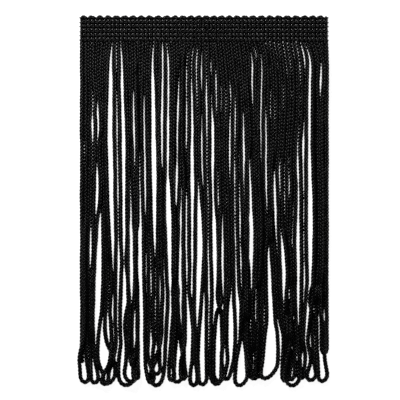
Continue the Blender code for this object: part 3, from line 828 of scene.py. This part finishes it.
# %% [markdown]
# ## The heading's columns and picots
#
# Above the fringe the same cord runs straight up through the heading, turns in a small arch and comes down
# again in the next column. Those arches are the picots, the scalloped edge along the top. The columns are
# plaited as the legs are, but drawn tighter, so that the small holes in the knit stay open between them.

# %% Columns and picots
COLUMN_WIDTH = 1.62
COLUMN_HEIGHT = 0.72
COLUMN_DROPS = (10.2, 6.0, 3.0)
COLUMN_STEP = 0.36
COLUMN_UNEVENNESS = 0.04
ARCH_DROP = 0.95
ARCH_RISE = 0.45
ARCH_ROUNDNESS = 0.6
ARCH_POINTS = 7
LAST_BEND = (
    # sideways, drop
    (0.0, 1.4),
    (0.12, 0.9),
    (0.40, 0.6),
)


def picot_line(first):
    """Up one column, over in an arch and down the next one."""
    left, right = column_x(first), column_x(first + 1)
    turn = np.linspace(math.pi, 0, ARCH_POINTS)
    arch_x = 0.5 * (left + right) + 0.5 * (right - left) * np.cos(turn)
    arch_drop = ARCH_DROP - ARCH_RISE * np.clip(np.sin(turn), 0, 1) ** ARCH_ROUNDNESS
    x = np.concatenate([[left] * len(COLUMN_DROPS), arch_x, [right] * len(COLUMN_DROPS)])
    drop = np.concatenate([COLUMN_DROPS, arch_drop, COLUMN_DROPS[::-1]])
    return np.column_stack([x, -drop, np.full(len(x), COLUMN_HEIGHT)])


def last_column_line():
    """The last column has no partner, so its cord is cut just after it bends over."""
    x = column_x(LEGS - 1)
    straight = [(x, -drop, COLUMN_HEIGHT) for drop in COLUMN_DROPS]
    bend = [(x + sideways, -drop, COLUMN_HEIGHT) for sideways, drop in LAST_BEND]
    return np.array(straight + bend)


column_tubes = []
for first in range(0, LEGS - 1, 2):
    line = smooth_path(picot_line(first), COLUMN_STEP)
    half_width = 0.5 * COLUMN_WIDTH * (1 + sway(len(line), COLUMN_STEP, COLUMN_UNEVENNESS))
    column_tubes += plait(line, half_width, rng.random())
line = smooth_path(last_column_line(), COLUMN_STEP)
column_tubes += plait(line, np.full(len(line), 0.5 * COLUMN_WIDTH), rng.random())
columns = yarn_piece("columns_and_picots", column_tubes, rayon, "heading")
print("columns", len(columns.data.polygons), "faces")

# %% [markdown]
# ## The chains of stitches
#
# Six chains of finer yarn lock the columns together. Seen from the front a chain is two strands that open
# over each column and cross in the gap beside it, and a third strand runs behind. They are drawn by waves
# that count columns and not millimetres, so every stitch falls on its column. At the trim's two cut ends
# the strands are drawn together.

# %% Chains
WALE_DROPS = (0.8, 2.8, 4.45, 6.56, 8.2, 10.0)
WALE_STEP = PITCH / 8
WALE_OVERHANG = 0.22
WALE_SWAY = 0.06
WALE_TOP = 1.7
STRAND = 0.23
STRAND_OPEN = 0.20
STRAND_HEIGHT = 1.18
STRAND_WAVE = 0.26
STRAND_CROSS = 0.13
STRAND_TUCK = 0.5
BACK_STRAND = 0.2
BACK_HEIGHT = 0.30
BACK_WAVE = 0.10
BACK_TUCK = 0.2
TUCK_START = 0.3
TUCK_RUN = 0.4


def wale_tubes(wale):
    """The three strands of one chain of stitches, as tubes."""
    reach = 0.5 * LENGTH + WALE_OVERHANG
    x = np.arange(-reach, reach + 0.5 * WALE_STEP, WALE_STEP)
    every_leg = np.arange(-1, LEGS + 1)
    leg = np.interp(x, column_x(every_leg), every_leg)
    over_column = np.cos(2 * math.pi * leg)
    swing = np.cos(math.pi * leg)
    cross = np.sin(math.pi * leg)
    tuck = np.clip((np.abs(x) - 0.5 * LENGTH + TUCK_START) / TUCK_RUN, 0, 1)
    wobble = sway(len(x), WALE_STEP, WALE_SWAY)
    tubes = []
    for way in (1, -1):
        y = -wale + wobble + way * STRAND_OPEN * swing
        z = STRAND_HEIGHT + STRAND_WAVE * over_column + way * STRAND_CROSS * cross - STRAND_TUCK * tuck
        tubes.append(tube(np.column_stack([x, y, z]), STRAND, STRAND))
    z = BACK_HEIGHT - BACK_WAVE * over_column + BACK_TUCK * tuck
    tubes.append(tube(np.column_stack([x, -wale + wobble, z]), BACK_STRAND, BACK_STRAND))
    # crest is the height above the floor, so a strand is painted darker the lower it lies, in full painted
    # shade for the strand behind.
    return [(rings, np.clip(rings[..., 2] / WALE_TOP, 0, 1)) for rings in tubes]


upper_tubes = [t for wale in WALE_DROPS[:-1] for t in wale_tubes(wale)]
chains = yarn_piece("heading_chains", upper_tubes, knit_yarn, "heading")
lowest_chain = yarn_piece("lowest_chain", wale_tubes(WALE_DROPS[-1]), knit_yarn, "fringe")
print("chains", len(chains.data.polygons) + len(lowest_chain.data.polygons), "faces")

# %% [markdown]
# ## The ground of the knit
#
# Between the chains the yarns lie so close that the heading is nearly a cloth, pierced by one small hole in
# each gap. A thin sheet with those holes closes what the columns leave open. It is the piece that counts as
# the cloth here, and all the yarn is declared as being on it.

# %% The pierced ground
GROUND_TOP = 1.0
GROUND_FOOT = 10.5
GROUND_HEIGHT = 0.62
GROUND_INSET = 0.1
GROUND_THICKNESS = 0.12
HOLE_WIDTH = 0.12
HOLE_DEPTH = 0.24


def ground_piece():
    """A thin sheet with a hole in each gap between two columns and two chains."""
    xs = [-0.5 * LENGTH + GROUND_INSET]
    for gap in range(1, LEGS):
        x = column_x(gap - 0.5)
        xs += [x - 0.5 * HOLE_WIDTH, x + 0.5 * HOLE_WIDTH]
    xs.append(0.5 * LENGTH - GROUND_INSET)
    ys = [GROUND_TOP]
    for upper, lower in zip(WALE_DROPS[:-1], WALE_DROPS[1:]):
        middle = 0.5 * (upper + lower)
        ys += [middle - 0.5 * HOLE_DEPTH, middle + 0.5 * HOLE_DEPTH]
    ys.append(GROUND_FOOT)
    points = [(x, -y, GROUND_HEIGHT) for y in ys for x in xs]
    faces = []
    for row in range(len(ys) - 1):
        for k in range(len(xs) - 1):
            if row % 2 and k % 2:
                continue
            a = row * len(xs) + k
            faces.append((a, a + len(xs), a + len(xs) + 1, a + 1))
    mesh = bpy.data.meshes.new("knit_ground")
    mesh.from_pydata(in_frame(points).tolist(), [], faces)
    # The sheet has no crest values, so the knit yarn on it takes the painted shade of the deepest hollows.
    mesh.materials.append(knit_yarn)
    ground = bpy.data.objects.new("knit_ground", mesh)
    bpy.context.scene.collection.objects.link(ground)
    thickness = ground.modifiers.new("thickness", "SOLIDIFY")
    thickness.thickness = GROUND_THICKNESS * MM
    thickness.offset = 0.0
    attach(ground, "root")
    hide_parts("heading")
    return ground


ground = ground_piece()
print("ground", len(ground.data.polygons), "faces")
